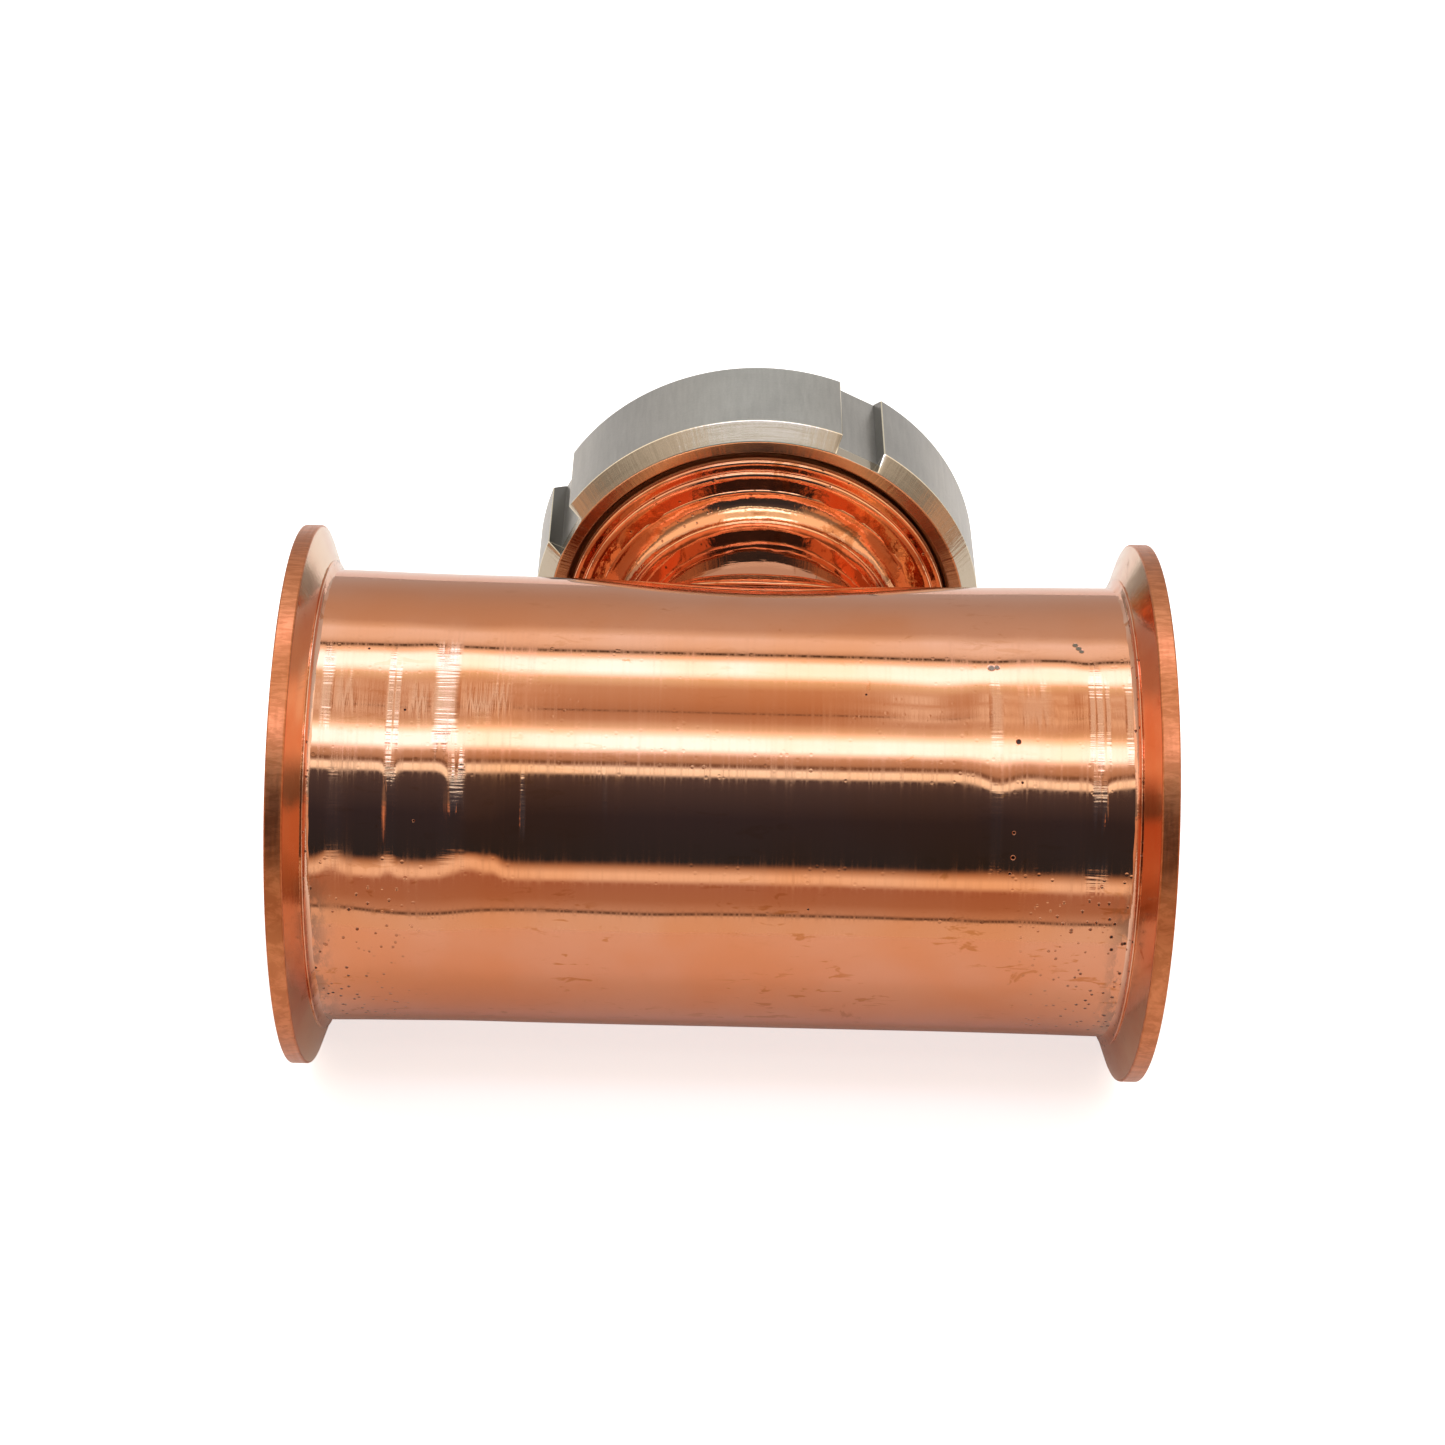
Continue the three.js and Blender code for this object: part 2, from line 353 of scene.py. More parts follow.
# ---- Materials -----------------------------------------------------------------------------------------

COPPER = (0.71, 0.305, 0.174)
COPPER_WARM = (0.70, 0.262, 0.122)
COPPER_STAIN = (0.52, 0.17, 0.05)
COPPER_DARK = (0.10, 0.045, 0.03)
COPPER_PIT = (0.032, 0.019, 0.015)
COPPER_GREY = (0.24, 0.14, 0.10)
COPPER_DULL = (0.17, 0.125, 0.085)
# Pale copper: the clamp braze's own colour, and the paler colour painted on the run's streaks as a highlight.
COPPER_PALE_AND_HIGHLIGHT = (0.80, 0.48, 0.34)
COPPER_BRIGHT = (0.84, 0.40, 0.20)
COPPER_CONE = (0.82, 0.56, 0.38)
COPPER_RIM = (0.48, 0.155, 0.060)
COPPER_RIM_PALE = (0.62, 0.215, 0.090)
STEEL = (0.48, 0.455, 0.42)
# Painted shade on the walls of the nut's slots.
STEEL_WALL_SHADE = (0.13, 0.124, 0.117)
# Painted highlight along the nut's slot edges and the chamfer's edge.
STEEL_EDGE_HIGHLIGHT = (0.85, 0.76, 0.60)
# Painted warm highlight on the nut's chamfer.
STEEL_CHAMFER_HIGHLIGHT = (0.58, 0.49, 0.38)

# Burnished streaks on the run, painted paler as a highlight: place along it, half width, lowest and highest
# angle, strength.
STREAKS = [
    (-52.9, 0.5, 50, 74, 0.8),
    (-51.8, 0.45, 52, 72, 0.7),
    (-52.4, 0.9, 39, 46, 0.6),
    (-52.4, 1.3, 22, 40, 0.14),
    (-44.1, 1.8, 52, 76, 1.0),
    (-41.9, 1.2, 35, 46, 0.9),
    (-42.6, 2.2, 22, 42, 0.16),
    (-31.4, 0.45, 30, 41, 0.7),
    (-37.4, 3.6, 60, 65, 0.45),
    (-63.0, 0.9, 56, 74, 0.7),
    (-61.0, 1.4, 22, 44, 0.18),
    (-60.0, 1.6, 60, 66, 0.35),
    (-48.2, 1.5, 58, 64, 0.35),
    (-18.5, 0.4, 34, 42, 0.25),
    (43.2, 1.0, 22, 44, 0.22),
    (43.2, 1.0, 54, 70, 0.3),
    (49.5, 2.6, 59, 68, 0.3),
    (58.4, 0.5, 50, 70, 0.45),
    (59.6, 0.6, 48, 73, 0.5),
    (60.9, 0.4, 52, 70, 0.4),
    (59.0, 0.7, 37, 45, 0.55),
    (60.2, 0.5, 34, 44, 0.5),
    (59.4, 1.7, 20, 26, 0.4),
    (64.3, 0.6, 50, 72, 0.4),
]
# Single pits in the run: place along it, angle, radius.
PITS = [
    (46.6, 54.5, 0.34), (47.2, 44.5, 0.16), (46.0, 32.5, 0.22), (46.0, 26.5, 0.30), (45.6, 22.5, 0.20),
    (-48.5, 32, 0.16), (-50.5, 59, 0.18), (-57.0, 76, 0.16), (14.0, 12, 0.16), (22.5, 66, 0.16),
]
# Larger dull spots in the run.
SPOTS = [(56.4, 82.8, 0.40), (56.9, 81.6, 0.42), (57.3, 80.6, 0.36), (42.6, 74.6, 0.5), (43.5, 74.8, 0.4)]


def spot_mask(tree, along, angle, places):
    """1 inside small round spots on the run, each with a place along it, an angle and a radius."""
    masks = []
    for x, degrees, size in places:
        round_way = calc(tree, "MULTIPLY", calc(tree, "SUBTRACT", angle, degrees), math.radians(TUBE_R))
        squares = [calc(tree, "POWER", value, 2.0) for value in (calc(tree, "SUBTRACT", along, x), round_way)]
        masks.append(ranged(tree, calc(tree, "ADD", *squares), (1.4 * size) ** 2, (0.7 * size) ** 2))
    return calc_all(tree, "MAXIMUM", masks)


def streak_mask(tree, along, angle):
    """Burnished streaks across the run's upper front, with ends that fray along the brushing; the run paints
    them paler as a highlight.
    """
    fray = scaled_noise(tree, along_axis(0, 1100, 60), detail=2)
    ragged = calc(tree, "MULTIPLY", calc(tree, "SUBTRACT", fray, 0.5), 16.0)
    frayed = calc(tree, "ADD", angle, ragged)
    masks = []
    for x, half, low, high, strength in STREAKS:
        across = near(tree, along, x, 0.5 * half, 0.8 * half)
        extent = near(tree, frayed, (low + high) / 2, (high - low) / 2 - 3, 6.0)
        masks.append(calc(tree, "MULTIPLY", calc(tree, "MULTIPLY", across, extent), strength))
    return calc_all(tree, "MAXIMUM", masks)


def random_pits(tree, field, scale, size):
    """Small pits scattered where a field is high."""
    coords = node(tree, "ShaderNodeTexCoord").outputs["Object"]
    cells = node(tree, "ShaderNodeTexVoronoi", Vector=coords, Scale=scale, Randomness=1.0)
    return calc(tree, "MULTIPLY", ranged(tree, cells.outputs["Distance"], size, 0.4 * size), field)


def copper_tone(tree, bright, warm, stain_level):
    """Base colour with soft clouds and orange stains; returns the colour and the stain mask."""
    clouds = scaled_noise(tree, (38, 38, 38), detail=4)
    colour = mixed(tree, ranged(tree, clouds, 0.36, 0.68), bright, warm)
    blots = scaled_noise(tree, (130, 130, 130), detail=7, rough=0.68, distortion=0.8)
    stains = calc(tree, "MULTIPLY", ranged(tree, blots, stain_level, stain_level + 0.06), 0.7)
    return mixed(tree, stains, colour, COPPER_STAIN), stains


def finish_copper(tree, shader, colour, rough, height):
    """Connects colour, roughness and a fine bump to a metal shader."""
    bump = node(tree, "ShaderNodeBump", Height=height, Distance=0.00001, Strength=1.0)
    shader.inputs["Metallic"].default_value = 1.0
    connect(tree, shader, Base_Color=colour, Roughness=rough, Normal=bump.outputs["Normal"])


def polished_run():
    """The run: brushed round and buffed, with burnished streaks painted paler as a highlight, pits, dull
    spots and stains.
    """
    material, tree, shader = new_material("polished_copper")
    along, angle, radius, _, _ = polar(tree, 0)
    colour, stains = copper_tone(tree, COPPER, COPPER_WARM, 0.65)
    inside = ranged(tree, radius, TUBE_R - 0.5 * WALL, TUBE_R - 0.8 * WALL)
    smudges = scaled_noise(tree, along_axis(0, 170, 14), detail=3)
    marks = scaled_noise(tree, along_axis(0, 2400, 60), detail=4, rough=0.65)
    streaks = streak_mask(tree, along, angle)
    end_zone = ranged(tree, calc(tree, "ABSOLUTE", along), 44, 64)
    low_zone = ranged(tree, angle, 26, 8)
    field = calc(tree, "MULTIPLY", calc(tree, "ADD", calc(tree, "MULTIPLY", end_zone, low_zone), 0.02),
                 ranged(tree, scaled_noise(tree, (90, 90, 90), detail=2), 0.38, 0.50))
    pits = calc_all(tree, "MAXIMUM", [
        spot_mask(tree, along, angle, PITS),
        random_pits(tree, field, 640.0, 0.22),
        random_pits(tree, calc(tree, "MULTIPLY", field, 0.85), 330.0, 0.12),
    ])
    spots = spot_mask(tree, along, angle, SPOTS)
    tarnish = calc_all(tree, "MULTIPLY", [
        low_zone,
        ranged(tree, calc(tree, "ABSOLUTE", along), 60.5, 66),
        ranged(tree, scaled_noise(tree, (420, 190, 190), detail=5, rough=0.7), 0.42, 0.56),
    ])
    scuffs = scaled_noise(tree, (190, 620, 620), detail=3, rough=0.6, distortion=0.6)
    scuffs = calc_all(tree, "MULTIPLY", [
        ranged(tree, scuffs, 0.59, 0.66),
        ranged(tree, angle, 24, 10, 0.3, 1.0),
        ranged(tree, scaled_noise(tree, (50, 50, 50), detail=1), 0.42, 0.58),
    ])
    colour = mixed(tree, calc(tree, "MULTIPLY", scuffs, 0.75), colour, COPPER_STAIN)
    colour = mixed(tree, calc(tree, "MULTIPLY", tarnish, 0.75), colour, COPPER_GREY)
    colour = mixed(tree, spots, colour, COPPER_DULL)
    # Burnished streaks: real marks, painted paler as a highlight.
    colour = mixed(tree, calc(tree, "MULTIPLY", streaks, 0.8), colour, COPPER_PALE_AND_HIGHLIGHT)
    colour = mixed(tree, pits, colour, COPPER_PIT)
    rough = calc_all(tree, "ADD", [
        ranged(tree, marks, 0.35, 0.75, 0.03, 0.13),
        ranged(tree, smudges, 0.50, 0.75, 0.0, 0.06),
        calc(tree, "MULTIPLY", inside, 0.30),
        calc(tree, "MULTIPLY", streaks, 0.12),
        calc(tree, "MULTIPLY", stains, 0.10),
        calc(tree, "MULTIPLY", calc(tree, "ADD", tarnish, spots), 0.18),
    ])
    ladder = scaled_noise(tree, along_axis(0, 110, 1900), detail=1)
    height = calc_all(tree, "ADD", [
        calc(tree, "MULTIPLY", marks, ranged(tree, calc(tree, "ABSOLUTE", along), 36, 50, 0.2, 0.6)),
        calc(tree, "MULTIPLY", pits, -12.0),
        calc(tree, "MULTIPLY", spots, -3.0),
        calc(tree, "MULTIPLY", calc(tree, "MULTIPLY", streaks, ladder), 9.0),
    ])
    finish_copper(tree, shader, colour, rough, height)
    return material


def polished_neck():
    """The branch tube: a mirror finish with a few soft marks."""
    material, tree, shader = new_material("neck_copper")
    colour, stains = copper_tone(tree, COPPER, COPPER_WARM, 0.66)
    marks = scaled_noise(tree, along_axis(1, 1800, 70), detail=3)
    lumps = scaled_noise(tree, (160, 160, 160), detail=2)
    scuffed = ranged(tree, marks, 0.4, 0.75, 0.015, 0.07)
    rough = calc(tree, "ADD", scuffed, calc(tree, "MULTIPLY", stains, 0.1))
    height = calc(tree, "ADD", calc(tree, "MULTIPLY", marks, 0.3), calc(tree, "MULTIPLY", lumps, 5.0))
    finish_copper(tree, shader, colour, rough, height)
    return material


def turned_clamp():
    """Clamp ferrule: a sanded rim, and a polished back cone and clamp face."""
    material, tree, shader = new_material("turned_copper")
    _, _, radius, _, _ = polar(tree, 0)
    colour, stains = copper_tone(tree, COPPER_CONE, COPPER, 0.62)
    marks = scaled_noise(tree, along_axis(0, 2200, 120), detail=3)
    scratches = scaled_noise(tree, (300, 1400, 300), detail=5, rough=0.7, distortion=0.5)
    rim = ranged(tree, radius, FLANGE_R - 0.45, FLANGE_R - 0.15)
    sanded = mixed(tree, ranged(tree, scratches, 0.40, 0.62), COPPER_RIM, COPPER_RIM_PALE)
    colour = mixed(tree, rim, colour, sanded)
    rough = calc_all(tree, "ADD", [
        ranged(tree, marks, 0.35, 0.7, 0.09, 0.16),
        calc(tree, "MULTIPLY", rim, 0.20),
        calc(tree, "MULTIPLY", stains, 0.12),
    ])
    height = calc(tree, "ADD", calc(tree, "MULTIPLY", marks, 0.8), calc(tree, "MULTIPLY", scratches, 1.5))
    finish_copper(tree, shader, colour, rough, height)
    return material


def turned_thread():
    """Threaded ferrule: bright turned copper with heat stains, scratches and a few pits."""
    material, tree, shader = new_material("threaded_copper")
    colour, stains = copper_tone(tree, COPPER_BRIGHT, COPPER, 0.58)
    marks = scaled_noise(tree, (700, 2200, 700), detail=4, rough=0.65)
    lumps = scaled_noise(tree, (190, 190, 190), detail=4)
    pits = random_pits(tree, ranged(tree, scaled_noise(tree, (80, 80, 80), detail=2), 0.5, 0.6), 500.0, 0.2)
    colour = mixed(tree, pits, colour, COPPER_DARK)
    along, _, _, _, _ = polar(tree, 1)
    under_nut = ranged(tree, along, SHOULDER + 0.6, SHOULDER + 1.2)
    colour = mixed(tree, calc(tree, "MULTIPLY", under_nut, 0.8), colour, COPPER_STAIN)
    dull = calc(tree, "SUBTRACT", 1.0, calc(tree, "MULTIPLY", under_nut, 0.6))
    rough = calc_all(tree, "ADD", [
        ranged(tree, marks, 0.35, 0.7, 0.04, 0.12),
        calc(tree, "MULTIPLY", stains, 0.12),
        calc(tree, "MULTIPLY", under_nut, 0.40),
    ])
    height = calc_all(tree, "ADD", [
        calc(tree, "MULTIPLY", marks, 0.7),
        calc(tree, "MULTIPLY", lumps, 17.0),
        calc(tree, "MULTIPLY", pits, -8.0),
    ])
    finish_copper(tree, shader, colour, rough, height)
    connect(tree, shader, Metallic=dull)
    return material


def braze(name, bright, pitting):
    """Filler metal, dressed by hand: lumpy, bright on its crests and pitted."""
    material, tree, shader = new_material(name)
    colour, stains = copper_tone(tree, bright, COPPER_WARM, 0.58)
    lumps = scaled_noise(tree, (420, 420, 420), detail=4, rough=0.6)
    field = ranged(tree, scaled_noise(tree, (90, 90, 90), detail=2), 0.46, 0.6)
    pits = random_pits(tree, calc(tree, "MULTIPLY", field, pitting), 650.0, 0.20)
    colour = mixed(tree, calc(tree, "MULTIPLY", pits, 0.9), colour, COPPER_DARK)
    rough = calc(tree, "ADD", ranged(tree, lumps, 0.3, 0.7, 0.04, 0.14), calc(tree, "MULTIPLY", stains, 0.1))
    height = calc(tree, "ADD", calc(tree, "MULTIPLY", lumps, 7.0), calc(tree, "MULTIPLY", pits, -9.0))
    finish_copper(tree, shader, colour, rough, height)
    return material


def slot_masks(tree, up, across):
    """1 on the walls of the nut's slots, which get painted shade, and 1 on the slots' edges, which get a
    painted highlight.
    """
    cosine, sine = math.cos(FIRST_SLOT), math.sin(FIRST_SLOT)
    first = calc(tree, "SUBTRACT", calc(tree, "MULTIPLY", across, cosine), calc(tree, "MULTIPLY", up, sine))
    second = calc(tree, "ADD", calc(tree, "MULTIPLY", across, sine), calc(tree, "MULTIPLY", up, cosine))
    offsets = [calc(tree, "ABSOLUTE", value) for value in (first, second)]
    walls, edges = [], []
    for offset, reach in (offsets, offsets[::-1]):
        in_slot = ranged(tree, reach, SLOT_FLOOR - 0.1, SLOT_FLOOR + 0.1)
        walls.append(calc(tree, "MULTIPLY", near(tree, offset, SLOT_WIDTH / 2, 0.04, 0.03), in_slot))
        edges.append(calc(tree, "MULTIPLY", near(tree, offset, SLOT_WIDTH / 2 + 0.13, 0.08, 0.06), in_slot))
    return calc_all(tree, "MAXIMUM", walls), calc_all(tree, "MAXIMUM", edges)


def stainless():
    """Turned stainless steel: a fine even sheen, chatter marks on the chamfer, a painted warm highlight on
    the chamfer, painted shade on the slot walls and a painted highlight along the slot edges and the
    chamfer's edge.
    """
    material, tree, shader = new_material("stainless")
    along, _, radius, up, across = polar(tree, 1)
    shader.inputs["Metallic"].default_value = 1.0
    rings = scaled_noise(tree, (60, 4200, 60), detail=4, rough=0.65)
    grain = scaled_noise(tree, (2600, 2600, 2600), detail=2)
    clouds = scaled_noise(tree, (70, 70, 70), detail=3)
    chatter_place = node(tree, "ShaderNodeCombineXYZ", Z=calc(tree, "MULTIPLY", along, 0.12),
                         X=calc(tree, "MULTIPLY", calc(tree, "DIVIDE", across, radius), 46.0),
                         Y=calc(tree, "MULTIPLY", calc(tree, "DIVIDE", up, radius), 46.0)).outputs[0]
    chatter = noise_at(tree, chatter_place, detail=4, rough=0.6)
    chamfer = near(tree, along, NUT_FACE + NUT_CHAMFER / 2, NUT_CHAMFER / 2, 0.1)
    at_face = near(tree, along, NUT_FACE, 0.16, 0.08)
    walls, edges = slot_masks(tree, up, across)
    # Edges that get a painted highlight: the slots' edges, the line where the chamfer meets the round side,
    # and the slot floors at the face.
    edges = calc_all(tree, "MAXIMUM", [
        edges,
        near(tree, along, NUT_FACE + NUT_CHAMFER, 0.06, 0.08),
        calc(tree, "MULTIPLY", at_face, near(tree, radius, SLOT_FLOOR, 0.06, 0.08)),
    ])
    tone = calc_all(tree, "ADD", [
        calc(tree, "MULTIPLY", rings, 0.15),
        calc(tree, "MULTIPLY", clouds, 0.3),
        calc(tree, "MULTIPLY", chatter, 0.35),
        calc(tree, "MULTIPLY", grain, 0.20),
    ])
    dark = tuple(0.88 * part for part in STEEL)
    light = tuple(1.1 * part for part in STEEL)
    colour = ramp(tree, tone, [(0.38, dark), (0.62, light)])
    # Painted warm highlight on the chamfer.
    colour = mixed(tree, chamfer, colour, STEEL_CHAMFER_HIGHLIGHT)
    # Painted shade on the slot walls.
    colour = mixed(tree, walls, colour, STEEL_WALL_SHADE)
    # Painted highlight along the edges.
    colour = mixed(tree, edges, colour, STEEL_EDGE_HIGHLIGHT)
    rough = calc_all(tree, "ADD", [
        ranged(tree, rings, 0.3, 0.7, 0.30, 0.38),
        calc(tree, "MULTIPLY", chamfer, -0.16),
        calc(tree, "MULTIPLY", edges, -0.12),
    ])
    height = calc_all(tree, "ADD", [
        calc(tree, "MULTIPLY", rings, 0.12),
        calc(tree, "MULTIPLY", grain, 0.25),
        calc(tree, "MULTIPLY", chatter, calc(tree, "ADD", calc(tree, "MULTIPLY", chamfer, 6.0), 0.4)),
    ])
    bump = node(tree, "ShaderNodeBump", Height=height, Distance=0.00001, Strength=1.0)
    connect(tree, shader, Base_Color=colour, Roughness=rough, Normal=bump.outputs["Normal"])
    return material


def sight_glass():
    """Clear glass, faintly smudged."""
    material, tree, shader = new_material("sight_glass")
    shader.inputs["Transmission Weight"].default_value = 1.0
    shader.inputs["IOR"].default_value = 1.47
    smudges = scaled_noise(tree, (70, 70, 70), detail=5, rough=0.6)
    rough = ranged(tree, smudges, 0.3, 0.8, 0.0, 0.06)
    colour = ramp(tree, smudges, [(0.3, (0.93, 0.985, 0.965)), (0.7, (0.97, 1.0, 0.99))])
    connect(tree, shader, Base_Color=colour, Roughness=rough)
    return material


def moulded(name, dark, light, roughness, grain):
    """A soft moulded or skived ring: faint colour grain and a fine uneven surface."""
    material, tree, shader = new_material(name)
    texture = scaled_noise(tree, (grain, grain, grain), detail=5, rough=0.6)
    colour = ramp(tree, texture, [(0.3, dark), (0.7, light)])
    rough = ranged(tree, texture, 0.2, 0.8, roughness - 0.1, roughness + 0.1)
    bump = node(tree, "ShaderNodeBump", Height=texture, Distance=0.00004, Strength=0.6)
    connect(tree, shader, Base_Color=colour, Roughness=rough, Normal=bump.outputs["Normal"])
    return material


run_copper = polished_run()
neck_copper = polished_neck()
clamp_copper = turned_clamp()
thread_copper = turned_thread()
branch_filler = braze("braze", COPPER_BRIGHT, 0.5)
clamp_filler = braze("clamp_braze", COPPER_PALE_AND_HIGHLIGHT, 1.0)
steel = stainless()
glass = sight_glass()
rubber = moulded("elastomer", (0.018, 0.018, 0.02), (0.035, 0.035, 0.037), 0.65, 900)
fluoroplastic = moulded("fluoroplastic", (0.80, 0.79, 0.75), (0.88, 0.87, 0.84), 0.45, 500)

# ---- Pieces on the run ---------------------------------------------------------------------------------

TO_RUN = Matrix.Rotation(-math.pi / 2, 4, "Z")      # lathe axis Y to X
RUN_AT = (0, RUN_Y, RUN_Z)
BRANCH_AT = (BRANCH_X, RUN_Y, RUN_Z)


def place(node_name, mesh, material, slot, body="tee_body", run=False):
    """Puts a finished mesh in the frame, where it stands for the CAD node."""
    at, turn = (RUN_AT, TO_RUN) if run else (BRANCH_AT, None)
    piece = add_object(f"fine_{node_name}", mesh, at, turn)
    piece.data.materials.clear()
    piece.data.materials.append(material)
    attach(piece, body)
    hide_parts(node_name)
    return piece


def make_run_tube():
    """The run, with the branch hole cut through its far wall."""
    half = TUBE_END
    bore = TUBE_R - WALL
    outline = rounded([(bore, -half), (TUBE_R, -half), (TUBE_R, half), (bore, half)], 0.25, 3)
    outline = supported(outline, longest=0.45)
    points = lathe_points(outline, ring_angles(320))
    points = shape_tube(points)
    mesh = grid_mesh("run_tube", points)
    piece = place("run_tube", mesh, run_copper, "polished_copper", run=True)
    bpy.ops.mesh.primitive_cylinder_add(vertices=256, radius=(NECK_R - WALL) * MM, depth=TUBE_R * MM)
    drill = bpy.context.object
    drill.rotation_euler = (math.pi / 2, 0, 0)
    drill.location = Vector((BRANCH_X, RUN_Y + TUBE_R, RUN_Z)) * MM
    cut(piece, drill)
    return piece


def gauss(value, width):
    """A smooth hump: 1 at 0, falling off over a width."""
    return np.exp(-((value / width) ** 2))


# Raised places in the run's wall: place along it, angle, half width, half length round it, height.
BUMPS = [
    (-52.4, 38, 0.9, 5, 0.22),
    (-42.6, 38, 1.3, 5, 0.24),
    (-39.6, 28, 3.8, 5, 0.30),
    (-35.8, 28, 1.0, 5, 0.12),
    (-52.4, 27, 0.9, 5, 0.14),
    (-49.0, 1, 9.0, 6, 0.22),
    (-12.0, 1, 9.0, 6, 0.06),
    (-47.0, 84, 3.2, 6, 0.08),
    (-61.5, 28, 1.8, 5, 0.20),
    (-40.0, 78, 6.0, 8, 0.10),
    (-51.0, 70, 5.0, 10, -0.10),
    (43.6, 38, 3.0, 5, 0.20),
    (55.0, 38, 9.0, 5, 0.15),
    (59.6, 38, 1.4, 5, 0.14),
    (41.0, 71, 4.0, 6, 0.08),
    (57.5, 71, 2.0, 6, 0.08),
    (34.0, 78, 7.0, 9, -0.12),
]


def shape_tube(points):
    """Moves the tube's outer wall: waves, bumps, fuller ends and the sunken wall beside the branch."""
    x, station, z = points[..., 0], points[..., 1], points[..., 2]
    radius = np.hypot(x, z)
    outward_y, up = -x / radius, z / radius         # on the run, lathe X points to -Y
    angle = np.degrees(np.arctan2(up, -outward_y))
    near_ends = np.clip((np.abs(station) - 25) / 20, 0, 1)
    change = 0.30 * np.clip((np.abs(station) - 36) / 30, 0, 1) ** 2
    change = change + (0.04 + 0.08 * near_ends) * wobble(1.6 * station, x, z, 34, 1)
    change = change + (0.008 + 0.022 * near_ends) * wobble(2.0 * station, x, z, 13, 2)
    for place_x, centre, half, half_round, height in BUMPS:
        round_way = np.radians(angle - centre) * TUBE_R
        change = change + height * gauss(station - place_x, half) * gauss(round_way, half_round)
    beside = gauss(station - BRANCH_X, 27) * gauss(np.abs(np.degrees(np.arctan2(up, outward_y))) - 46, 24)
    change = change - 1.1 * beside * (outward_y > -0.5)
    outer = radius > TUBE_R - 0.4 * WALL
    scale = np.where(outer, (radius + change) / radius, 1.0)
    moved = points.copy()
    moved[..., 0] *= scale
    moved[..., 2] *= scale
    return moved


def back_cone(radius):
    """Distance from the clamp face at which the flange's back cone has a radius."""
    return RIM + (FLANGE_R - radius) * math.tan(BACK_CONE)


def make_clamp_ferrule(side):
    """Clamp ferrule: gasket groove in its face, rim, 20 degree back cone, socket for the tube."""
    direction = -1 if side == "left" else 1
    bore = TUBE_R - WALL
    socket = TUBE_R + JOINT_GAP
    outline = [
        (bore, 0), (GROOVE_R - GROOVE_HALF, 0), (GROOVE_R - GROOVE_FLOOR_HALF, GROOVE_DEPTH),
        (GROOVE_R + GROOVE_FLOOR_HALF, GROOVE_DEPTH), (GROOVE_R + GROOVE_HALF, 0),
        (FLANGE_R, 0), (FLANGE_R, RIM),
        (HUB_TOP_R, back_cone(HUB_TOP_R)), (socket, back_cone(HUB_TOP_R)), (socket, WALL), (bore, WALL),
    ]
    outline = supported(rounded(outline, 0.28, 4), longest=2.0)
    outline = [(r, direction * (HALF_RUN - s)) for r, s in outline]
    mesh = turned(f"{side}_ferrule", outline, 320)
    place(f"{side}_ferrule", mesh, clamp_copper, "turned_copper", run=True)


def make_clamp_braze(side):
    """Uneven fillet where the ferrule's back meets the tube."""
    direction = -1 if side == "left" else 1
    foot = back_cone(HUB_TOP_R)
    leg = 1.8
    outline = [(TUBE_R - 0.25, foot - 0.1), (TUBE_R + leg, foot - 0.1)]
    outline += [
        (TUBE_R + leg * (1 - math.sin(t)) + 0.02, foot + leg * (1 - math.cos(t)) + 0.02)
        for t in np.linspace(0, math.pi / 2, 7)
    ]
    outline.append((TUBE_R - 0.25, foot + leg))
    outline = [(r, direction * (HALF_RUN - s)) for r, s in outline]

    def uneven(points):
        x, station, z = points[..., 0], points[..., 1], points[..., 2]
        swell = 1 + 0.0022 * wobble(x, station, z, 2.4, 3 + direction)
        points[..., 0] *= swell
        points[..., 2] *= swell
        return points

    mesh = turned(f"{side}_braze", outline, 320, uneven)
    place(f"{side}_braze", mesh, clamp_filler, "braze", run=True)


# ---- Pieces on the branch ------------------------------------------------------------------------------


def saddle_height(z):
    """Height of the run's outside above its axis over a point of the branch's cross-section."""
    return np.sqrt(TUBE_R ** 2 - z ** 2)


def make_branch_neck():
    """Branch tube, its foot cut to the saddle."""
    bore = NECK_R - WALL
    outline = supported([(bore, 0), (NECK_R, 0), (NECK_R, 1), (bore, 1)], longest=0.06, edge=0.01)

    def cut_foot(points):
        foot = saddle_height(points[..., 2]) - 0.4
        points[..., 1] = foot + points[..., 1] * (NECK_END - foot)
        return points

    mesh = turned("branch_neck", outline, 256, cut_foot)
    place("branch_neck", mesh, neck_copper, "polished_copper")


def make_saddle_braze():
    """Fillet round the foot of the neck, laid over the run."""
    leg = NECK_FILLET
    inner = NECK_R - 0.2
    outline = [(inner, -0.6), (NECK_R + leg, -0.6)]
    outline += [
        (NECK_R + leg * (1 - math.sin(t)) ** 1.15 + 0.02, leg * (1 - math.cos(t)) ** 1.15 + 0.02)
        for t in np.linspace(0, math.pi / 2, 13)
    ]
    outline.append((inner, leg))

    def drape(points):
        x, station, z = points[..., 0], points[..., 1], points[..., 2]
        lump = 0.10 * wobble(x, station, z, 5.0, 7)
        points[..., 1] = station + saddle_height(z) + lump
        return points

    mesh = turned("saddle_braze", outline, 320, drape)
    place("saddle_braze", mesh, branch_filler, "braze")


